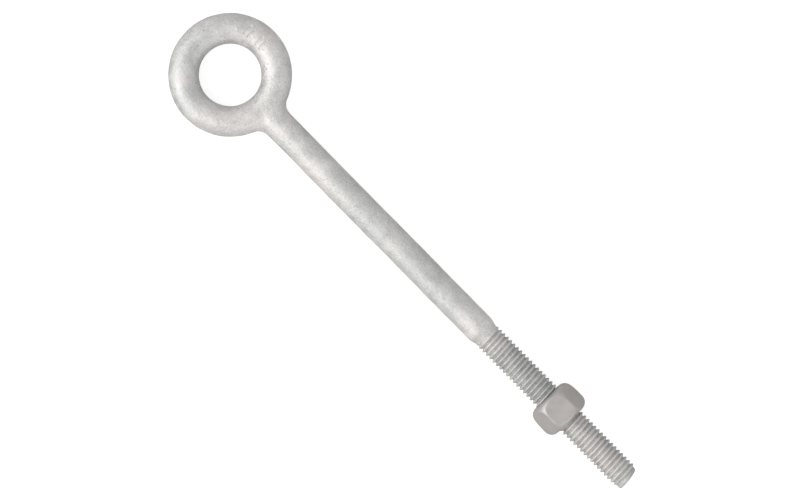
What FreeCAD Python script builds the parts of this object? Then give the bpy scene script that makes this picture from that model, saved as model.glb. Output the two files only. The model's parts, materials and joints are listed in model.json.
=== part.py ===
import FreeCAD, Part
import os
import Sketcher

# A forged, hot-dip-galvanised eye bolt of the straight, shoulderless pattern, with the hex
# nut that runs on its thread.
# Frame: the origin is the eye's centre, the eye opens along Z, the shank runs out along +X.
# Lengths are in millimetres. Every driving size is written once, in the sheet below.

SIZES = [
    # alias, value, what it is
    ("EyeOpening", 25.25, "inside diameter of the eye"),
    ("RingSection", 12.7, "diameter of the eye's round section"),
    ("ShankDiameter", 12.8, "diameter of the plain shank"),
    ("NeckFillet", 4.2, "radius where the shank grows out of the eye"),
    ("ShankReach", 145.0, "eye centre to the end of the plain shank"),
    ("TaperLength", 4.63, "length over which the shank draws down to the thread's blank"),
    ("TipReach", 231.8, "eye centre to the tip of the thread"),
    ("TipChamfer", 1.2, "chamfer round the tip"),
    ("ThreadDiameter", 12.1, "outside diameter of the thread"),
    ("ThreadPitch", 1.95385, "one turn of the thread along the axis, 13 turns in 25.4"),
    ("NutReach", 184.0, "eye centre to the nut's bearing face"),
    ("NutThickness", 13.25, "thickness of the nut"),
    ("NutFlats", 18.65, "width of the nut across its flats"),
    ("NutSeat", 1.2, "width of the flat ring at each end of the nut"),
    ("NutCrown", 3.2, "height of the bevel at the nut's bearing end, at its corners"),
    ("NutBevel", 1.9, "height of the bevel at the nut's other end, at its corners"),
    ("NutSink", 0.65, "depth of the countersink at each end of the nut's bore"),
    ("NutClearance", 0.1, "gap all round between the thread's crests and the nut's bore"),
]

# the unified thread's form, in shares of its pitch: crest to root, crest to pitch line, the
# groove's width at the crest, and how far the cutter stands out past the crest
DEPTH_SHARE = 0.6134
PITCH_LINE_SHARE = 0.3248
MOUTH_SHARE = 0.875
OVERRUN_SHARE = 0.05
SLOPE = "tan(30 deg)"

# how far a bevel's cutter is drawn past the nut's corner
BEVEL_OVERRUN = 1.25

# distances from the eye's centre, and radii, that follow from the sheet
RING_CENTRE = "(Sizes.EyeOpening + Sizes.RingSection) / 2"
BLANK_REACH = "(Sizes.ShankReach + Sizes.TaperLength)"
CREST = "(Sizes.ThreadDiameter / 2)"
BLANK_RADIUS = f"({CREST} - {PITCH_LINE_SHARE} * Sizes.ThreadPitch)"
ROOT = f"({CREST} - {DEPTH_SHARE} * Sizes.ThreadPitch)"
NUT_END = "(Sizes.NutReach + Sizes.NutThickness)"
NUT_CORNER = "(Sizes.NutFlats / sqrt(3))"
BORE = f"({CREST} + Sizes.NutClearance)"
SINK = f"({BORE} + Sizes.NutSink)"
SEAT = f"({SINK} + Sizes.NutSeat)"


def sheet_of_sizes(doc):
    """The spreadsheet that every feature reads: name, value and description in each row."""
    sheet = doc.addObject("Spreadsheet::Sheet", "Sizes")
    for row, (alias, value, words) in enumerate(SIZES, start=1):
        sheet.set(f"A{row}", alias)
        sheet.set(f"B{row}", str(value))
        sheet.setAlias(f"B{row}", alias)
        sheet.set(f"C{row}", words)
    doc.recompute()


def new_body(doc, node):
    body = doc.addObject("PartDesign::Body", node)
    body.Label = node
    return body


def datum(body, role):
    """One of the body's own origin planes or axes."""
    return next(item for item in body.Origin.OriginFeatures if item.Role == role)


def new_sketch(body, name, plane):
    sketch = body.newObject("Sketcher::SketchObject", name)
    sketch.AttachmentSupport = [(datum(body, plane), "")]
    sketch.MapMode = "FlatFace"
    return sketch


def hold(sketch, constraint, expression):
    """Add a dimension to a sketch and tie it to the sheet."""
    sketch.setExpression(f"Constraints[{sketch.addConstraint(constraint)}]", expression)


def draw_outline(sketch, corners):
    """Draw a closed outline and tie every corner of it to the sheet.

    A corner is two expressions, across and up from the sketch's origin. Where one is None,
    the corner lies on that axis of the sketch.
    """
    points = [FreeCAD.Vector(*[float(sketch.evalExpression(text)) if text else 0.0
                               for text in corner]) for corner in corners]
    following = [(place + 1) % len(corners) for place in range(len(corners))]
    for place, after in enumerate(following):
        sketch.addGeometry(Part.LineSegment(points[place], points[after]), False)
    for place, after in enumerate(following):
        sketch.addConstraint(Sketcher.Constraint("Coincident", place, 2, after, 1))
    for place, (across, up) in enumerate(corners):
        for kind, text, value, axis in (("DistanceX", across, points[place].x, -2),
                                        ("DistanceY", up, points[place].y, -1)):
            if text is None:
                sketch.addConstraint(Sketcher.Constraint("PointOnObject", place, 1, axis))
            else:
                hold(sketch, Sketcher.Constraint(kind, -1, 1, place, 1, value), text)


def turn(body, feature, name, profile, axis):
    """Turn a profile once round one of the body's axes, to add it or to cut it away."""
    turned = body.newObject(feature, name)
    turned.Profile = profile
    turned.ReferenceAxis = (datum(body, axis), [""])
    turned.Angle = 360
    return turned


def make_ring(body):
    """The eye. Its section is drawn on the side away from the neck, clear of the fillet."""
    section = new_sketch(body, "RingSectionCircle", "XZ_Plane")
    reach = float(section.evalExpression(RING_CENTRE))
    radius = float(section.evalExpression("Sizes.RingSection / 2"))
    middle = FreeCAD.Vector(-reach, 0, 0)
    section.addGeometry(Part.Circle(middle, FreeCAD.Vector(0, 0, 1), radius), False)
    section.addConstraint(Sketcher.Constraint("PointOnObject", 0, 3, -1))
    hold(section, Sketcher.Constraint("DistanceX", 0, 3, -1, 1, reach), RING_CENTRE)
    hold(section, Sketcher.Constraint("Radius", 0, radius), "Sizes.RingSection / 2")
    turn(body, "PartDesign::Revolution", "Ring", section, "Z_Axis")


def make_shank(body):
    """The shank and the thread's blank, from inside the ring out to the chamfered tip."""
    profile = new_sketch(body, "ShankProfile", "XZ_Plane")
    draw_outline(profile, [
        (RING_CENTRE, None),
        (RING_CENTRE, "Sizes.ShankDiameter / 2"),
        ("Sizes.ShankReach", "Sizes.ShankDiameter / 2"),
        (BLANK_REACH, BLANK_RADIUS),
        (f"{BLANK_REACH} + Sizes.ThreadPitch", CREST),
        ("Sizes.TipReach - Sizes.TipChamfer", CREST),
        ("Sizes.TipReach", f"{CREST} - Sizes.TipChamfer"),
        ("Sizes.TipReach", None),
    ])
    return turn(body, "PartDesign::Revolution", "Shank", profile, "X_Axis")


def neck_edges(shape):
    """The edges along which the round shank leaves the ring."""
    names = []
    for number, edge in enumerate(shape.Edges, start=1):
        beside = {type(face.Surface).__name__ for face in shape.ancestorsOfType(edge, Part.Face)}
        if beside == {"Toroid", "Cylinder"}:
            names.append(f"Edge{number}")
    return names


def cut_thread(body):
    """The right-hand thread: a flat-bottomed 60 degree groove, wound out past the tip."""
    groove = new_sketch(body, "ThreadGroove", "XY_Plane")
    start = f"({BLANK_REACH} + Sizes.ThreadPitch / 2)"
    half_crest = f"({MOUTH_SHARE} * Sizes.ThreadPitch / 2)"
    half_root = f"({half_crest} - {DEPTH_SHARE} * Sizes.ThreadPitch * {SLOPE})"
    half_mouth = f"({half_crest} + {OVERRUN_SHARE} * Sizes.ThreadPitch * {SLOPE})"
    mouth = f"({CREST} + {OVERRUN_SHARE} * Sizes.ThreadPitch)"
    draw_outline(groove, [
        (f"{start} - {half_root}", ROOT),
        (f"{start} + {half_root}", ROOT),
        (f"{start} + {half_mouth}", mouth),
        (f"{start} - {half_mouth}", mouth),
    ])
    thread = body.newObject("PartDesign::SubtractiveHelix", "Thread")
    thread.Profile = groove
    thread.ReferenceAxis = (datum(body, "X_Axis"), [""])
    thread.Mode = "pitch-height-angle"
    thread.LeftHanded = False
    thread.setExpression("Pitch", "Sizes.ThreadPitch")
    thread.setExpression("Height", f"Sizes.TipReach - {BLANK_REACH} + Sizes.ThreadPitch")
    return thread


def make_eye_bolt(doc):
    """One forging: the ring, the plain shank, and the thread rolled at its far end."""
    body = new_body(doc, "eye_bolt")
    make_ring(body)
    shank = make_shank(body)
    doc.recompute()

    neck = body.newObject("PartDesign::Fillet", "Neck")
    neck.Base = (shank, neck_edges(shank.Shape))
    neck.setExpression("Radius", "Sizes.NeckFillet")
    doc.recompute()

    blank = body.Shape.Volume
    cut_thread(body)
    doc.recompute()
    if body.Shape.Volume >= blank:
        raise RuntimeError("the thread's groove cut nothing away")
    return body


def bevel_nut(body, name, face, inward, height):
    """Bevel the corners of the nut at one end. inward is + or -, from that face into the nut."""
    outward = "-" if inward == "+" else "+"
    wide = f"{SEAT} + {BEVEL_OVERRUN} * ({NUT_CORNER} - {SEAT})"
    corner = new_sketch(body, f"{name}Corner", "XY_Plane")
    draw_outline(corner, [
        (face, SEAT),
        (f"{face} {inward} {BEVEL_OVERRUN} * {height}", wide),
        (f"{face} {outward} {height}", wide),
        (f"{face} {outward} {height}", SEAT),
    ])
    turn(body, "PartDesign::Groove", name, corner, "X_Axis")


def make_hex_nut(doc):
    """The hex nut, two of its flats facing up and down. The end towards the eye bears."""
    body = new_body(doc, "hex_nut")
    prism = body.newObject("PartDesign::AdditivePrism", "Hexagon")
    prism.AttachmentSupport = [(datum(body, "YZ_Plane"), "")]
    prism.MapMode = "FlatFace"
    prism.Polygon = 6
    prism.setExpression("Circumradius", NUT_CORNER)
    prism.setExpression("Height", "Sizes.NutThickness")
    prism.setExpression(".AttachmentOffset.Base.z", "Sizes.NutReach")

    bevel_nut(body, "Crown", "Sizes.NutReach", "+", "Sizes.NutCrown")
    bevel_nut(body, "Bevel", NUT_END, "-", "Sizes.NutBevel")

    bore = new_sketch(body, "BoreProfile", "XY_Plane")
    draw_outline(bore, [
        ("Sizes.NutReach", None),
        ("Sizes.NutReach", SINK),
        ("Sizes.NutReach + Sizes.NutSink", BORE),
        (f"{NUT_END} - Sizes.NutSink", BORE),
        (NUT_END, SINK),
        (NUT_END, None),
    ])
    turn(body, "PartDesign::Groove", "Bore", bore, "X_Axis")
    return body


def check(doc, bodies):
    """Stop on any feature that failed, and on any sub-part that isn't one sound solid."""
    for item in doc.Objects:
        if {"Invalid", "Error"} & set(item.State):
            raise RuntimeError(f"{item.Label} failed: {item.State}")
    for body in bodies:
        shape = body.Shape
        if shape.isNull() or not shape.isValid() or len(shape.Solids) != 1:
            raise RuntimeError(f"{body.Label} isn't one valid solid")


def main():
    doc = FreeCAD.newDocument("EyeBolt")
    sheet_of_sizes(doc)
    bodies = [make_eye_bolt(doc), make_hex_nut(doc)]
    doc.recompute()
    check(doc, bodies)
    os.makedirs("parts", exist_ok=True)
    for body in bodies:
        body.Shape.exportStep(f"parts/{body.Label}.step")
        print(body.Label, round(body.Shape.Volume, 1), "cubic millimetres")


main()
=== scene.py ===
import json
import math

import bmesh
import bpy
from bpy.props import FloatProperty, FloatVectorProperty, IntProperty, PointerProperty
from mathutils import Matrix, Vector, noise


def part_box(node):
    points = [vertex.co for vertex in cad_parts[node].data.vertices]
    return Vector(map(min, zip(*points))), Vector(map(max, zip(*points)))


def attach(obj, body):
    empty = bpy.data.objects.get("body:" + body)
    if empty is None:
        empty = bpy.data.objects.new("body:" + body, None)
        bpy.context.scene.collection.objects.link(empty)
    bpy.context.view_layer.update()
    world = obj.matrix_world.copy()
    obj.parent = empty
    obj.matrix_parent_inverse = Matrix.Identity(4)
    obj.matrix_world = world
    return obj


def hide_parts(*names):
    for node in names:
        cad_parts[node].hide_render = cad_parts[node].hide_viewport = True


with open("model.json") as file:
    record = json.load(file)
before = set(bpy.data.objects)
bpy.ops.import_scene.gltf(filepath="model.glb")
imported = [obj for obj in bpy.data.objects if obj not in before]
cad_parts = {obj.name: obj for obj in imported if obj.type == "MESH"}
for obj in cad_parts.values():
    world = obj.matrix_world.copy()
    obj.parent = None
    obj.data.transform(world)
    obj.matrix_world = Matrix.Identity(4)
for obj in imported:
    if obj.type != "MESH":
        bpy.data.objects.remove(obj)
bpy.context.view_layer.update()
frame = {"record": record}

bl_info = {
    "name": "Galvanised Eye Bolt",
    "version": (1, 0, 0),
    "blender": (4, 5, 0),
    "location": "View3D > Sidebar > Eye Bolt",
    "description": "Builds a forged, galvanised eye bolt and its hex nut round their design frame",
    "category": "Object",
}

MM = 0.001
CLOSE = 0.01 * MM        # two points nearer than this count as one place
BOLT_LOW, BOLT_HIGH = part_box("eye_bolt")
NUT_LOW, NUT_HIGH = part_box("hex_nut")
MOUNTS = {mount["name"]: mount for mount in frame["record"]["mounts"]}
EYE_RADIUS = MOUNTS["eye"]["dims"]["r_mm"] * MM


# ---------------------------------------------------------------- sizes and colours

class BoltSizes(bpy.types.PropertyGroup):
    """Sizes of the forging that the frame doesn't already fix."""

    coat_room: FloatProperty(
        name="Coat Room", description="How far the surface stays inside the design outline",
        default=0.08 * MM, min=0, subtype="DISTANCE", precision=5)
    neck_radius: FloatProperty(
        name="Neck Radius", description="Radius where the shank grows out of the ring",
        default=4.6 * MM, min=0, subtype="DISTANCE", precision=5)
    shank_end: FloatProperty(
        name="Shank End", description="Eye centre to where the plain shank starts to draw down",
        default=145.0 * MM, min=0, subtype="DISTANCE", precision=5)
    thread_start: FloatProperty(
        name="Thread Start", description="Eye centre to where the thread rises from its blank",
        default=148.9 * MM, min=0, subtype="DISTANCE", precision=5)
    first_groove: FloatProperty(
        name="First Groove", description="Eye centre to the first groove, on the +Y side",
        default=150.607 * MM, min=0, subtype="DISTANCE", precision=6)
    pitch: FloatProperty(
        name="Pitch", description="One turn of the thread along the axis",
        default=25.4 / 13 * MM, min=0, subtype="DISTANCE", precision=6)
    thread_radius: FloatProperty(
        name="Thread Radius", description="Axis to the crest of the thread",
        default=6.05 * MM, min=0, subtype="DISTANCE", precision=5)
    thread_depth: FloatProperty(
        name="Thread Depth", description="Crest to root of the thread",
        default=1.12 * MM, min=0, subtype="DISTANCE", precision=5)
    sheared_end: FloatProperty(
        name="Sheared End", description="How much longer one side of the cropped tip is",
        default=1.5 * MM, min=0, subtype="DISTANCE", precision=5)
    waviness: FloatProperty(
        name="Waviness", description="Height of the slow unevenness of the forged surface",
        default=0.08 * MM, min=0, subtype="DISTANCE", precision=5)
    mark_depth: FloatProperty(
        name="Mark Depth", description="How far the plain tally mark is struck into the ring",
        default=0.42 * MM, min=0, subtype="DISTANCE", precision=5)
    steps_round: IntProperty(
        name="Steps Round", description="Faces round the shank and the thread",
        default=96, min=24)


class NutSizes(bpy.types.PropertyGroup):
    """Sizes of the nut that the frame doesn't already fix."""

    corner_softness: FloatProperty(
        name="Corner Softness",
        description="Reach of the rounding of the six corners, at the crown",
        default=1.8 * MM, min=0, subtype="DISTANCE", precision=5)
    edge_softness: FloatProperty(
        name="Edge Softness", description="Reach of the rounding where the flats meet the crowns",
        default=0.35 * MM, min=0, subtype="DISTANCE", precision=5)
    thread_gap: FloatProperty(
        name="Thread Gap", description="Play between the nut's thread and the bolt's",
        default=0.1 * MM, min=0, subtype="DISTANCE", precision=5)
    sink_radius: FloatProperty(
        name="Sink Radius", description="Mouth of the countersink at each end of the bore",
        default=6.25 * MM, min=0, subtype="DISTANCE", precision=5)
    steps_round: IntProperty(
        name="Steps Round", description="Faces round the nut, a multiple of six",
        default=240, min=48)


class ZincColours(bpy.types.PropertyGroup):
    """Colours of the two galvanised surfaces."""

    forging: FloatVectorProperty(
        name="Forging", description="Zinc on the forged bolt", subtype="COLOR", size=4,
        default=(0.655, 0.66, 0.65, 1), min=0, max=1)
    nut: FloatVectorProperty(
        name="Nut", description="Zinc on the nut", subtype="COLOR", size=4,
        default=(0.49, 0.48, 0.463, 1), min=0, max=1)


class StageSettings(bpy.types.PropertyGroup):
    """The floor, the lights and the camera."""

    camera_height: FloatProperty(
        name="Camera Height", description="Camera above the eye's plane",
        default=2.0, min=0.2, subtype="DISTANCE")
    camera_turn: FloatProperty(
        name="Camera Turn", description="Turn of the camera about the vertical",
        default=math.radians(45.466), subtype="ANGLE")
    view_width: FloatProperty(
        name="View Width", description="Width of the floor that the camera takes in",
        default=0.3256, min=0.05, subtype="DISTANCE")


# ---------------------------------------------------------------- small helpers

SHARP_ANGLE = math.radians(32)      # edges that turn more than this stay crisp


def smooth_step(low, high, value):
    """0 below low, 1 above high, and an even S between."""
    share = min(max((value - low) / (high - low), 0.0), 1.0)
    return share * share * (3 - 2 * share)


def soft_least(first, second, reach):
    """The lesser of two lengths, rounded over where they cross."""
    if reach <= 0:
        return min(first, second)
    share = max(reach - abs(first - second), 0.0) / reach
    return min(first, second) - share * share * reach / 4


def soft_most(first, second, reach):
    return -soft_least(-first, -second, reach)


def evenly(start, end, count):
    """Points from start up to but not including end."""
    return [start + (end - start) * place / count for place in range(count)]


def piece_from(bm, name, body, material, nodes):
    """Turn a finished bmesh into a smooth-shaded piece, crisp at its sharp edges, on a body."""
    bmesh.ops.recalc_face_normals(bm, faces=bm.faces)
    mesh = bpy.data.meshes.new(name)
    bm.to_mesh(mesh)
    bm.free()
    mesh.polygons.foreach_set("use_smooth", [True] * len(mesh.polygons))
    mesh.set_sharp_from_angle(angle=SHARP_ANGLE)
    mesh.materials.append(material)
    piece = bpy.data.objects.new(name, mesh)
    bpy.context.collection.objects.link(piece)
    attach(piece, body)
    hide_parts(*nodes)
    return piece


def turned(bm, profile, steps, closed=False):
    """Lathe a profile of (along, out) points about the X axis."""
    points = [bm.verts.new((along, out, 0)) for along, out in profile]
    pairs = list(zip(points, points[1:]))
    if closed:
        pairs.append((points[-1], points[0]))
    lines = [bm.edges.new(pair) for pair in pairs]
    bmesh.ops.spin(bm, geom=points + lines, cent=(0, 0, 0), axis=(1, 0, 0), dvec=(0, 0, 0),
                   angle=math.tau, steps=steps, use_merge=True, use_duplicate=False)


# ---------------------------------------------------------------- the thread's form

# shares of one turn that are flat crest and flat root, how round the flank meets each of them,
# how far below the crests the rolled blank lies, and rows of faces in one turn
CREST_SHARE = 0.14
ROOT_SHARE = 0.13
ROOT_ROUNDING = 0.2
CREST_ROUNDING = 0.14
BLANK_SHARE = 0.52
ROWS_PER_TURN = 12


def thread_height(sizes, along, angle):
    """How far up its flank the thread stands at a point, from 0 at the root to 1 at the crest."""
    turns = (along - sizes.first_groove) / sizes.pitch - angle / math.tau
    off_crest = abs(turns - math.floor(turns) - 0.5)
    flank = 0.5 - (CREST_SHARE + ROOT_SHARE) / 2
    height = 1 - (off_crest - CREST_SHARE / 2) / flank
    return soft_least(soft_most(height, 0.0, ROOT_ROUNDING), 1.0, CREST_ROUNDING)


def bolt_thread_radius(sizes, along, angle):
    root = sizes.thread_radius - sizes.thread_depth
    return root + sizes.thread_depth * thread_height(sizes, along, angle)


def blank_radius(sizes):
    """Radius of the bar that the thread was rolled into."""
    return sizes.thread_radius - BLANK_SHARE * sizes.thread_depth


# ---------------------------------------------------------------- the bolt's shape

SECTION_STEPS = 56                  # faces round the ring's section
RING_STEPS = 240                    # faces round the ring
NECK_HALF_ANGLE = math.radians(24)  # how far round the ring is opened on each side of the shank
NECK_REACH = 12.6 * MM              # the ring's middle line to where the lathed shank starts
NECK_ROWS = 9                       # cuts across the strip between the ring and the shank
NECK_FROM = 14 * MM                 # the smoothed stretch starts here along the shank
NECK_SIDE = 14 * MM                 # and reaches this far to each side of it
NECK_DEPTH = 3 * MM                 # and this far in from the ring's middle line
SETTLE_ROUNDS = 4                   # how often the neck is smoothed and settled
SHANK_ROWS = 140                    # rows of faces along the plain shank
TAPER_ROWS = 14                     # rows of faces where it draws down

THREAD_LEAD_IN = 0.3 * MM           # how far before the thread's start it begins to rise
THREAD_RISE = 2.0 * MM              # over what length it rises to its full height
TURN_UNEVENNESS = 0.05 * MM         # how far one turn's crest differs from the next

TIP_LEAD = 0.92 * MM                # how much smaller than the crests the last stretch is
TIP_LEAD_FROM = 3.6 * MM            # tip to where the thread starts to be turned down
TIP_LEAD_TO = 2.7 * MM              # tip to where it is turned down in full
TIP_LEAD_ROUNDING = 0.25 * MM
TIP_CORNER = 0.95 * MM              # radius round the cropped end
TIP_CORNER_ROWS = 8
TIP_DOME = 0.15 * MM                # how far the end face stands out at its middle
TIP_FACE_ROWS = (0.85, 0.7, 0.55, 0.4, 0.25, 0.1, 0.0)
END_FACE_CORE = 2 * MM              # radius of the end face's middle, which the thread misses
SHEAR_FROM = 2.9 * MM               # tip to where its lean starts
SHEAR_TO = 1.0 * MM                 # tip to where it leans in full
SHEAR_CURVE = 1.8
SHEAR_ROUGHNESS = 0.07 * MM

# the forged skin: each swell's height, how many there are in a metre, and its pattern's start
SWELLS = (
    (1.1, 90, Vector((0, 0, 0))),
    (0.8, 230, Vector((7, 3, 1))),
    (0.45, 560, Vector((2, 9, 4))),
)
THREAD_CALM = 0.75                  # share of the swell that the rolling took out of the thread


def ring_middle():
    return (EYE_RADIUS - BOLT_LOW.x) / 2


def ring_section(sizes):
    return (-BOLT_LOW.x - EYE_RADIUS) / 2 - sizes.coat_room


def shank_radius(sizes):
    return BOLT_HIGH.z - 1.3 * sizes.coat_room


def off_ring(point, sizes):
    return math.hypot(math.hypot(point.x, point.y) - ring_middle(), point.z) - ring_section(sizes)


def off_shank(point, sizes):
    """Distance outside the shank, which starts with a round end in the middle of the ring."""
    short = max(ring_middle() - point.x, 0.0)
    return math.hypot(short, point.y, point.z) - shank_radius(sizes)


def slope_of(function, point, sizes):
    """Which way a distance function grows, by small steps each way."""
    step = CLOSE
    return Vector([
        (function(point + offset, sizes) - function(point - offset, sizes)) / (2 * step)
        for offset in (Vector((step, 0, 0)), Vector((0, step, 0)), Vector((0, 0, step)))])


def off_neck(point, sizes):
    """Distance outside the ring and shank with a fillet between them.

    The fillet is at its full radius where the two surfaces stand square to each other, and it
    fades away over the crown, where they run into one another.
    """
    ring, shank = off_ring(point, sizes), off_shank(point, sizes)
    together = slope_of(off_ring, point, sizes).dot(slope_of(off_shank, point, sizes))
    radius = sizes.neck_radius * (1 - min(max(together, 0.0), 1.0))
    inside_ring, inside_shank = max(radius - ring, 0.0), max(radius - shank, 0.0)
    return max(radius, min(ring, shank)) - math.hypot(inside_ring, inside_shank)


def settle_neck(vert, sizes):
    """Move a point onto the filleted surface."""
    for _ in range(4):
        off = off_neck(vert.co, sizes)
        slope = slope_of(off_neck, vert.co, sizes)
        if slope.length_squared > 0.01:
            vert.co -= slope * (off / slope.length_squared)


def make_ring_shell(bm, sizes):
    """The ring, open where the shank joins it."""
    section = bmesh.ops.create_circle(bm, segments=SECTION_STEPS, radius=ring_section(sizes))
    bmesh.ops.rotate(bm, verts=section["verts"], cent=(0, 0, 0),
                     matrix=Matrix.Rotation(math.pi / 2, 3, "X"))
    bmesh.ops.translate(bm, verts=section["verts"], vec=(ring_middle(), 0, 0))
    around = list({edge for vert in section["verts"] for edge in vert.link_edges})
    bmesh.ops.spin(bm, geom=section["verts"] + around, cent=(0, 0, 0), axis=(0, 0, 1),
                   dvec=(0, 0, 0), angle=math.tau, steps=RING_STEPS, use_merge=True,
                   use_duplicate=False)
    opening = []
    for face in bm.faces:
        middle = face.calc_center_median()
        outside = math.hypot(middle.x, middle.y) > ring_middle()
        if outside and abs(math.atan2(middle.y, middle.x)) < NECK_HALF_ANGLE:
            opening.append(face)
    bmesh.ops.delete(bm, geom=opening, context="FACES")


def shank_profile(sizes):
    """The outline of the shank, thread and tip, from the neck out to the axis at the tip."""
    neck, plain = ring_middle() + NECK_REACH, shank_radius(sizes)
    blank = blank_radius(sizes)
    tip = BOLT_HIGH.x
    profile = [(along, plain) for along in evenly(neck, sizes.shank_end, SHANK_ROWS)]
    for along in evenly(sizes.shank_end, sizes.thread_start, TAPER_ROWS):
        drawn = smooth_step(sizes.shank_end, sizes.thread_start, along)
        profile.append((along, plain + (blank - plain) * drawn))
    corner_start = tip - TIP_DOME - TIP_CORNER
    rows = round((corner_start - sizes.thread_start) / sizes.pitch * ROWS_PER_TURN)
    profile += [(along, sizes.thread_radius)
                for along in evenly(sizes.thread_start, corner_start, rows)]
    # the cropped tip: its rounded corner, then a slightly domed end face in to the axis
    edge = sizes.thread_radius - TIP_LEAD
    for place in range(TIP_CORNER_ROWS + 1):
        angle = math.pi / 2 * place / TIP_CORNER_ROWS
        profile.append((corner_start + TIP_CORNER * math.sin(angle),
                        edge - TIP_CORNER * (1 - math.cos(angle))))
    face = edge - TIP_CORNER
    for share in TIP_FACE_ROWS:
        profile.append((tip - TIP_DOME * share * share, face * share))
    return profile


def lead_radius(sizes, along):
    """The most that the thread may stand out near the tip, where it was turned down."""
    tip = BOLT_HIGH.x
    turned_down = smooth_step(tip - TIP_LEAD_FROM, tip - TIP_LEAD_TO, along)
    return sizes.thread_radius - TIP_LEAD * turned_down


def cut_thread(bm, sizes):
    """Wind the thread into the lathed surface, fading in at the blank and out at the tip, and
    store for each point a painted shade that darkens the thread's grooves.
    """
    blank = blank_radius(sizes)
    fade = sizes.thread_start - THREAD_LEAD_IN
    # painted shade: how deep each point lies in the thread, which the zinc colour darkens
    shade = bm.verts.layers.float.new("groove")
    for vert in bm.verts:
        along = vert.co.x
        out = math.hypot(vert.co.y, vert.co.z)
        if along < fade or out < END_FACE_CORE:
            continue
        angle = math.atan2(vert.co.z, vert.co.y)
        full = bolt_thread_radius(sizes, along, angle)
        # the turns of a rolled thread are never quite alike
        full += TURN_UNEVENNESS * noise.noise(vert.co * 420)
        risen = smooth_step(fade, fade + THREAD_RISE, along)
        # painted shade: none on the crests, most low on the flanks, a little less at the roots
        below = 1 - thread_height(sizes, along, angle)
        vert[shade] = risen * below * (1 - 0.5 * below ** 4)
        target = blank + (full - blank) * risen
        target = soft_least(min(target, out), lead_radius(sizes, along), TIP_LEAD_ROUNDING)
        vert.co.y *= target / out
        vert.co.z *= target / out


def shear_tip(bm, sizes):
    """Lean the cropped end, so that one side of the tip is longer."""
    tip = BOLT_HIGH.x
    for vert in bm.verts:
        leaning = smooth_step(tip - SHEAR_FROM, tip - SHEAR_TO, vert.co.x)
        if leaning > 0:
            across = min(max((1 + vert.co.y / sizes.thread_radius) / 2, 0.0), 1.0)
            vert.co.x -= leaning * sizes.sheared_end * across ** SHEAR_CURVE
            vert.co += leaning * SHEAR_ROUGHNESS * noise.noise_vector(vert.co * 700)


def roughen(bm, sizes):
    """Unevenness of a hammered and dipped surface, moved along each point's normal."""
    bm.normal_update()
    for vert in bm.verts:
        calm = 1 - THREAD_CALM * smooth_step(sizes.shank_end, sizes.thread_start, vert.co.x)
        swell = sum(height * noise.noise(vert.co * count + start)
                    for height, count, start in SWELLS)
        height = sizes.waviness * calm * swell
        vert.co += vert.normal * soft_least(height, 0.9 * sizes.coat_room, 0.02 * MM)


# the plain mark on the eye: four upright bars and a pip, as (offset along, half height)
MARK_CENTRE = Vector((-3.5 * MM, 18.0 * MM))
MARK_STROKES = ((-4.4, 1.9), (-2.2, 1.9), (0.0, 0.0), (2.2, 1.9), (4.4, 1.9))
MARK_STROKE_RADIUS = 0.36 * MM
MARK_SLOPE = 0.16 * MM
MARK_ROOM = Vector((6.0 * MM, 3.2 * MM))


def mark_share(place):
    """1 on a stroke of the mark, 0 off it, and a slope between."""
    offset = place.xy - MARK_CENTRE
    nearest = min(math.hypot(offset.x - along * MM,
                             max(abs(offset.y) - half * MM, 0.0))
                  for along, half in MARK_STROKES)
    return 1 - smooth_step(MARK_STROKE_RADIUS - MARK_SLOPE, MARK_STROKE_RADIUS + MARK_SLOPE,
                           nearest)


def in_mark_room(place):
    offset = place.xy - MARK_CENTRE
    return place.z > 0 and abs(offset.x) < MARK_ROOM.x and abs(offset.y) < MARK_ROOM.y


def strike_mark(bm, sizes):
    """Sink a worn tally mark into the crown of the ring."""
    around = set()
    for face in bm.faces:
        if in_mark_room(face.calc_center_median()):
            around.update(face.edges)
    bmesh.ops.subdivide_edges(bm, edges=list(around), cuts=3, use_grid_fill=True)
    bm.normal_update()
    for vert in bm.verts:
        if in_mark_room(vert.co):
            vert.co -= vert.normal * (sizes.mark_depth * mark_share(vert.co))


def join_neck(bm, sizes):
    """Bridge the ring's opening to the shank's open end and settle the strip on the fillet."""
    near_end = ring_middle() + NECK_REACH
    open_edges = [edge for edge in bm.edges if edge.is_boundary]
    mouth = [edge for edge in open_edges
             if all(abs(vert.co.x - near_end) < CLOSE for vert in edge.verts)]
    opening = [edge for edge in open_edges if edge not in mouth]
    bridged = bmesh.ops.bridge_loops(bm, edges=opening + mouth)
    ends = set(open_edges)
    rungs = {edge for face in bridged["faces"] for edge in face.edges if edge not in ends}
    bmesh.ops.subdivide_edges(bm, edges=list(rungs), cuts=NECK_ROWS, use_grid_fill=False)
    neck = [vert for vert in bm.verts
            if NECK_FROM < vert.co.x < near_end - 0.5 * MM and abs(vert.co.y) < NECK_SIDE
            and math.hypot(vert.co.x, vert.co.y) > ring_middle() - NECK_DEPTH]
    for _ in range(SETTLE_ROUNDS):
        bmesh.ops.smooth_vert(bm, verts=neck, factor=0.5, use_axis_x=True, use_axis_y=True,
                              use_axis_z=True)
        for vert in neck:
            settle_neck(vert, sizes)


def make_bolt(sizes, material):
    bm = bmesh.new()
    make_ring_shell(bm, sizes)
    turned(bm, shank_profile(sizes), sizes.steps_round)
    bmesh.ops.remove_doubles(bm, verts=bm.verts, dist=0.002 * MM)
    join_neck(bm, sizes)
    cut_thread(bm, sizes)
    shear_tip(bm, sizes)
    roughen(bm, sizes)
    strike_mark(bm, sizes)
    return piece_from(bm, "forged_eye_bolt", "eye_bolt", material,
                      ["eye_bolt"])


# ---------------------------------------------------------------- the nut's shape

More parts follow.
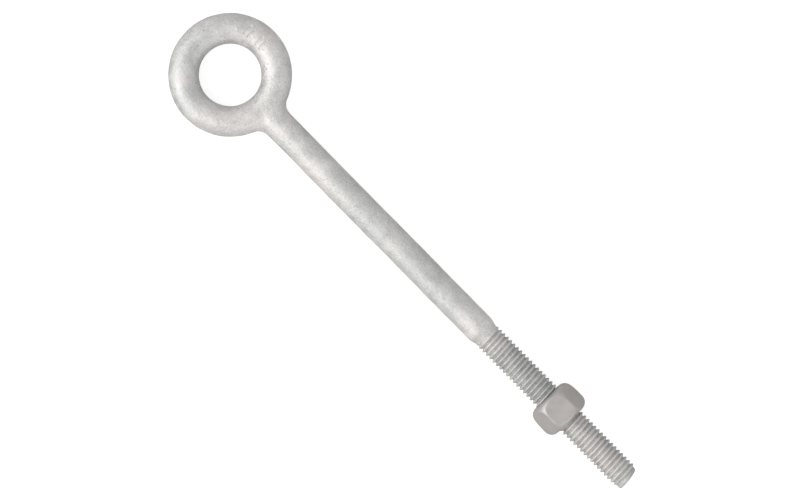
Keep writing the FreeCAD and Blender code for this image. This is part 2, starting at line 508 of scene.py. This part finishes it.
# each rounded end: how far in it reaches, the radius it starts from, and how full it is
CROWN = (7.5 * MM, 7.0 * MM, 3)
BEVEL = (4.2 * MM, 7.1 * MM, 2)
NUT_BLANK = 8 * MM          # radius of the lathed outside, before the flats are shaped
BORE_BLANK = 5.7 * MM       # radius of the lathed bore, before its thread is cut
BORE_MOUTH = 5.8 * MM       # radius at which the countersink starts
NUT_CREST = 5.22 * MM       # radius over the crests of the nut's own thread
NUT_SKIN = 0.02 * MM        # how far the flats lie inside the design outline
CURVE_ROWS = 30             # rows of faces over each rounded end


def crown_radius(depth, reach, start, fullness, corner):
    """Radius of a rounded end of the nut at a depth in from its face."""
    if depth >= reach:
        return corner
    return start + (corner - start) * math.sqrt(max(1 - (1 - depth / reach) ** fullness, 0))


def nut_radius(sizes, depth, thickness, angle):
    """Outside of the nut at an angle: the flats, their corners and both rounded ends."""
    half_flats = NUT_HIGH.z - NUT_SKIN
    corner = half_flats / math.cos(math.pi / 6)
    sixth = math.pi / 3
    from_flat = (angle % sixth) - sixth / 2
    flat = half_flats / math.cos(from_flat)
    beside = half_flats / math.cos(sixth - abs(from_flat))
    worn = sizes.corner_softness * (1 - smooth_step(1.5 * MM, 7 * MM, depth)) + 0.06 * MM
    side = soft_least(flat, beside, worn)
    for rounding, room in ((CROWN, depth), (BEVEL, thickness - depth)):
        side = soft_least(side, crown_radius(room, *rounding, corner), sizes.edge_softness)
    return side


def make_nut(sizes, bolt, material):
    near, far = NUT_LOW.x, NUT_HIGH.x
    thickness = far - near
    bm = bmesh.new()
    quarter = [math.pi / 2 * place / CURVE_ROWS for place in range(1, CURVE_ROWS + 1)]
    outside = [near + CROWN[0] * (1 - math.cos(angle)) for angle in quarter]
    outside += evenly(outside[-1] + 0.2 * MM, far - BEVEL[0], 5)
    outside += [far - BEVEL[0] * (1 - math.cos(angle)) for angle in reversed(quarter[:-1])]
    profile = [(near, CROWN[1])] + [(along, NUT_BLANK) for along in outside] + [(far, BEVEL[1])]
    profile += [(far, sizes.sink_radius)]
    sink_depth = sizes.sink_radius - BORE_MOUTH
    inner_far, inner_near = far - sink_depth, near + sink_depth
    rows = round((inner_far - inner_near) / bolt.pitch * ROWS_PER_TURN)
    profile += [(along, BORE_BLANK) for along in evenly(inner_far, inner_near, rows)]
    profile += [(inner_near, BORE_BLANK), (near, sizes.sink_radius)]
    turned(bm, profile, sizes.steps_round, closed=True)
    bmesh.ops.remove_doubles(bm, verts=bm.verts, dist=0.0005 * MM)
    for vert in bm.verts:
        out = math.hypot(vert.co.y, vert.co.z)
        angle = math.atan2(vert.co.z, vert.co.y)
        if abs(out - NUT_BLANK) < CLOSE:
            target = nut_radius(sizes, vert.co.x - near, thickness, angle)
        elif out < BORE_MOUTH:
            groove = bolt_thread_radius(bolt, vert.co.x, angle) + sizes.thread_gap
            from_end = min(vert.co.x - near, far - vert.co.x)
            target = max(groove, NUT_CREST, sizes.sink_radius - from_end)
        else:
            continue
        vert.co.y *= target / out
        vert.co.z *= target / out
    return piece_from(bm, "galvanised_hex_nut", "hex_nut", material,
                      ["hex_nut"])


# ---------------------------------------------------------------- materials

def new_group(name, inputs, outputs):
    """A shader node group with its sockets, ready for its nodes."""
    tree = bpy.data.node_groups.new(name, "ShaderNodeTree")
    for label, kind, default in inputs:
        socket = tree.interface.new_socket(label, in_out="INPUT", socket_type=kind)
        socket.default_value = default
    for label, kind in outputs:
        tree.interface.new_socket(label, in_out="OUTPUT", socket_type=kind)
    return tree, tree.nodes.new("NodeGroupInput"), tree.nodes.new("NodeGroupOutput")


def ramp_value(tree, source, low, high, out_low, out_high):
    """Stretch a value from one range to another and hold it there."""
    node = tree.nodes.new("ShaderNodeMapRange")
    node.inputs["From Min"].default_value = low
    node.inputs["From Max"].default_value = high
    node.inputs["To Min"].default_value = out_low
    node.inputs["To Max"].default_value = out_high
    tree.links.new(source, node.inputs["Value"])
    return node.outputs["Result"]


def math_node(tree, operation, first, second):
    node = tree.nodes.new("ShaderNodeMath")
    node.operation = operation
    for socket, value in zip(node.inputs, (first, second)):
        if isinstance(value, (int, float)):
            socket.default_value = value
        else:
            tree.links.new(value, socket)
    return node.outputs[0]


def noise_node(tree, vector, scale, detail, roughness=0.5):
    node = tree.nodes.new("ShaderNodeTexNoise")
    node.inputs["Scale"].default_value = scale
    node.inputs["Detail"].default_value = detail
    node.inputs["Roughness"].default_value = roughness
    tree.links.new(vector, node.inputs["Vector"])
    return node.outputs["Fac"]


def zinc_coat_group():
    """Dipped zinc: cloudy patches, frosted grain and pits, as colour, roughness and height, and
    painted shade in the thread's grooves, as colour.
    """
    tree, given, out = new_group(
        "Zinc Coat",
        [("Colour", "NodeSocketColor", (0.6, 0.6, 0.6, 1)),
         ("Cloud", "NodeSocketFloat", 0.08),
         ("Grain", "NodeSocketFloat", 0.1),
         ("Groove Shade", "NodeSocketFloat", 0.0),
         ("Roughness", "NodeSocketFloat", 0.5)],
        [("Colour", "NodeSocketColor"), ("Roughness", "NodeSocketFloat"),
         ("Height", "NodeSocketFloat")])
    place = tree.nodes.new("ShaderNodeTexCoord").outputs["Object"]
    cloud = noise_node(tree, place, 210, 4, 0.6)
    tint = noise_node(tree, place, 60, 1)
    grain = noise_node(tree, place, 2400, 2, 0.6)
    lumps = noise_node(tree, place, 700, 2, 0.5)
    pits = tree.nodes.new("ShaderNodeTexVoronoi")
    pits.inputs["Scale"].default_value = 420
    tree.links.new(place, pits.inputs["Vector"])
    pit = ramp_value(tree, pits.outputs["Distance"], 0.04, 0.16, 1.0, 0.0)
    beads = tree.nodes.new("ShaderNodeTexVoronoi")
    beads.inputs["Scale"].default_value = 300
    tree.links.new(place, beads.inputs["Vector"])
    kept = ramp_value(tree, noise_node(tree, place, 90, 1), 0.47, 0.55, 0.0, 1.0)
    bead = math_node(tree, "MULTIPLY", kept, ramp_value(
        tree, beads.outputs["Distance"], 0.05, 0.2, 1.0, 0.0))

    cloud_gain = math_node(tree, "MULTIPLY", ramp_value(tree, cloud, 0.3, 0.7, -1, 1),
                           given.outputs["Cloud"])
    grain_gain = math_node(tree, "MULTIPLY", ramp_value(tree, grain, 0.3, 0.7, -1, 1),
                           given.outputs["Grain"])
    broad_gain = math_node(tree, "MULTIPLY", ramp_value(tree, tint, 0.35, 0.65, -0.7, 0.7),
                           given.outputs["Cloud"])
    gain = math_node(tree, "ADD", math_node(tree, "ADD", cloud_gain, grain_gain), 1.0)
    gain = math_node(tree, "ADD", gain, broad_gain)
    gain = math_node(tree, "SUBTRACT", gain, math_node(tree, "MULTIPLY", pit, 0.12))
    # painted shade: the colour is darkened where the groove value marks the thread's grooves
    groove = tree.nodes.new("ShaderNodeAttribute")
    groove.attribute_name = "groove"
    gain = math_node(tree, "SUBTRACT", gain, math_node(
        tree, "MULTIPLY", groove.outputs["Fac"], given.outputs["Groove Shade"]))

    warm = tree.nodes.new("ShaderNodeMix")
    warm.data_type = "RGBA"
    warm.blend_type = "MULTIPLY"
    warm.inputs[7].default_value = (1.025, 0.99, 0.99, 1)
    tree.links.new(ramp_value(tree, tint, 0.4, 0.6, 0, 1), warm.inputs[0])
    tree.links.new(given.outputs["Colour"], warm.inputs[6])
    shade = tree.nodes.new("ShaderNodeVectorMath")
    shade.operation = "SCALE"
    tree.links.new(warm.outputs[2], shade.inputs[0])
    tree.links.new(gain, shade.inputs["Scale"])

    dull = math_node(tree, "ADD", given.outputs["Roughness"],
                     math_node(tree, "ADD", ramp_value(tree, cloud, 0.3, 0.7, -0.14, 0.12),
                               ramp_value(tree, grain, 0.3, 0.7, -0.06, 0.06)))
    height = math_node(tree, "ADD", math_node(tree, "MULTIPLY", grain, 0.35), lumps)
    height = math_node(tree, "SUBTRACT", height, math_node(tree, "MULTIPLY", pit, 0.8))
    height = math_node(tree, "ADD", height, math_node(tree, "MULTIPLY", bead, 0.7))
    tree.links.new(shade.outputs[0], out.inputs["Colour"])
    tree.links.new(dull, out.inputs["Roughness"])
    tree.links.new(height, out.inputs["Height"])
    return tree


def zinc_material(name, coat, colour, cloud, grain, groove, roughness, metallic, bump_depth):
    material = bpy.data.materials.new(name)
    material.use_nodes = True
    material.diffuse_color = colour
    tree = material.node_tree
    surface = tree.nodes["Principled BSDF"]
    surface.inputs["Metallic"].default_value = metallic
    surface.inputs["Specular IOR Level"].default_value = 0.5
    group = tree.nodes.new("ShaderNodeGroup")
    group.node_tree = coat
    for label, value in (("Colour", colour), ("Cloud", cloud), ("Grain", grain),
                         ("Groove Shade", groove), ("Roughness", roughness)):
        group.inputs[label].default_value = value
    height = tree.nodes.new("ShaderNodeBump")
    height.inputs["Strength"].default_value = 1.0
    height.inputs["Distance"].default_value = bump_depth
    tree.links.new(group.outputs["Height"], height.inputs["Height"])
    tree.links.new(group.outputs["Colour"], surface.inputs["Base Color"])
    tree.links.new(group.outputs["Roughness"], surface.inputs["Roughness"])
    tree.links.new(height.outputs["Normal"], surface.inputs["Normal"])
    return material


# ---------------------------------------------------------------- the stage

VIEW_MIDDLE = Vector((0.0993, -0.0007))     # the point of the floor that the camera is over
LIGHT_COLOUR = (1.0, 0.99, 0.965)
SKY_STRENGTH = 0.64
FLOOR_SHADE = (0.55, 0.55, 0.55, 1)
FLOOR_GLOW = 0.75
FLOOR_GAP = 0.05 * MM

# name, place, what it points at, size, and watts
LIGHTS = (
    ("key", (-0.60, -0.84, 0.86), (0.09, 0, 0), (1.6, 1.2), 13.0),
    ("tip_card", (0.95, -0.05, 0.35), (0.15, 0, 0), (0.5, 0.9), 1.6),
)


def area_light(name, location, target, size, power):
    data = bpy.data.lights.new(name, "AREA")
    data.shape = "RECTANGLE"
    data.size, data.size_y = size
    data.energy = power
    data.color = LIGHT_COLOUR
    light = bpy.data.objects.new(name, data)
    light.location = location
    light.rotation_euler = (Vector(target) - Vector(location)).to_track_quat("-Z", "Y").to_euler()
    bpy.context.collection.objects.link(light)


def make_floor():
    """A pale floor that touches the underside of the ring and of the nut."""
    bm = bmesh.new()
    bmesh.ops.create_grid(bm, x_segments=2, y_segments=2, size=6)
    mesh = bpy.data.meshes.new("studio_floor")
    drop = (NUT_LOW.z - BOLT_LOW.z) / (NUT_LOW.x + ring_middle())
    for vert in bm.verts:
        vert.co.z = BOLT_LOW.z + drop * (vert.co.x + ring_middle()) - FLOOR_GAP
    bm.to_mesh(mesh)
    bm.free()
    material = bpy.data.materials.new("floor_white")
    material.use_nodes = True
    tree = material.node_tree
    surface = tree.nodes["Principled BSDF"]
    surface.inputs["Base Color"].default_value = FLOOR_SHADE
    surface.inputs["Roughness"].default_value = 0.9
    # the camera sees the sweep lit up, and the bolt is lit by it only a little
    glow = tree.nodes.new("ShaderNodeEmission")
    glow.inputs["Strength"].default_value = FLOOR_GLOW
    seen = tree.nodes.new("ShaderNodeMixShader")
    both = tree.nodes.new("ShaderNodeAddShader")
    path = tree.nodes.new("ShaderNodeLightPath")
    tree.links.new(path.outputs["Is Camera Ray"], seen.inputs[0])
    tree.links.new(glow.outputs[0], seen.inputs[2])
    tree.links.new(surface.outputs[0], both.inputs[0])
    tree.links.new(seen.outputs[0], both.inputs[1])
    tree.links.new(both.outputs[0], tree.nodes["Material Output"].inputs["Surface"])
    mesh.materials.append(material)
    floor = bpy.data.objects.new("studio_floor", mesh)
    bpy.context.collection.objects.link(floor)


# ---------------------------------------------------------------- operators and panel

class EYEBOLT_OT_forging(bpy.types.Operator):
    """Build the forged eye bolt: ring, neck, shank and rolled thread"""
    bl_idname = "eyebolt.forging"
    bl_label = "Forged Eye Bolt"

    def execute(self, context):
        scene = context.scene
        coat = bpy.data.node_groups.get("Zinc Coat") or zinc_coat_group()
        # groove sets how strongly painted shade darkens the thread's grooves
        material = zinc_material("galvanised_forging", coat, scene.zinc_colours.forging,
                                 cloud=0.11, grain=0.20, groove=0.20, roughness=0.55,
                                 metallic=0.55, bump_depth=0.20 * MM)
        make_bolt(scene.bolt_sizes, material)
        return {"FINISHED"}


class EYEBOLT_OT_nut(bpy.types.Operator):
    """Build the hex nut with its crowned ends and its own thread"""
    bl_idname = "eyebolt.nut"
    bl_label = "Hex Nut"

    def execute(self, context):
        scene = context.scene
        coat = bpy.data.node_groups.get("Zinc Coat") or zinc_coat_group()
        material = zinc_material("galvanised_nut", coat, scene.zinc_colours.nut,
                                 cloud=0.05, grain=0.03, groove=0.0, roughness=0.46,
                                 metallic=0.55, bump_depth=0.03 * MM)
        make_nut(scene.nut_sizes, scene.bolt_sizes, material)
        return {"FINISHED"}


class EYEBOLT_OT_stage(bpy.types.Operator):
    """Set the pale floor, the soft lights and the camera over the bolt"""
    bl_idname = "eyebolt.stage"
    bl_label = "Studio Stage"

    def execute(self, context):
        scene = context.scene
        settings = scene.stage_settings
        make_floor()
        for light in LIGHTS:
            area_light(*light)
        world = bpy.data.worlds.new("studio_air")
        world.use_nodes = True
        sky = world.node_tree.nodes["Background"]
        sky.inputs["Color"].default_value = (1, 1, 1, 1)
        sky.inputs["Strength"].default_value = SKY_STRENGTH
        scene.world = world
        scene.view_settings.view_transform = "Standard"
        data = bpy.data.cameras.new("studio_camera")
        data.sensor_width = 36
        data.lens = 36 * settings.camera_height / settings.view_width
        data.clip_end = 20
        camera = bpy.data.objects.new("studio_camera", data)
        camera.location = (VIEW_MIDDLE.x, VIEW_MIDDLE.y, settings.camera_height)
        camera.rotation_euler = (0, 0, settings.camera_turn)
        context.collection.objects.link(camera)
        scene.camera = camera
        return {"FINISHED"}


class EYEBOLT_PT_panel(bpy.types.Panel):
    """Buttons for each piece, and the sizes and colours behind them"""
    bl_idname = "EYEBOLT_PT_panel"
    bl_label = "Eye Bolt"
    bl_space_type = "VIEW_3D"
    bl_region_type = "UI"
    bl_category = "Eye Bolt"

    def draw(self, context):
        layout = self.layout
        for operator in OPERATORS:
            layout.operator(operator.bl_idname)
        for name, group in GROUPS.items():
            box = layout.box()
            for field in group.__annotations__:
                box.prop(getattr(context.scene, name), field)


GROUPS = {"bolt_sizes": BoltSizes, "nut_sizes": NutSizes, "zinc_colours": ZincColours,
          "stage_settings": StageSettings}
OPERATORS = (EYEBOLT_OT_forging, EYEBOLT_OT_nut, EYEBOLT_OT_stage)


def register():
    for part in (*GROUPS.values(), *OPERATORS, EYEBOLT_PT_panel):
        bpy.utils.register_class(part)
    for name, group in GROUPS.items():
        setattr(bpy.types.Scene, name, PointerProperty(type=group))


def unregister():
    for name in GROUPS:
        delattr(bpy.types.Scene, name)
    for part in (EYEBOLT_PT_panel, *reversed(OPERATORS), *reversed(tuple(GROUPS.values()))):
        bpy.utils.unregister_class(part)


def main():
    register()
    bpy.ops.eyebolt.forging()
    bpy.ops.eyebolt.nut()
    bpy.ops.eyebolt.stage()


if __name__ == "__main__":
    main()
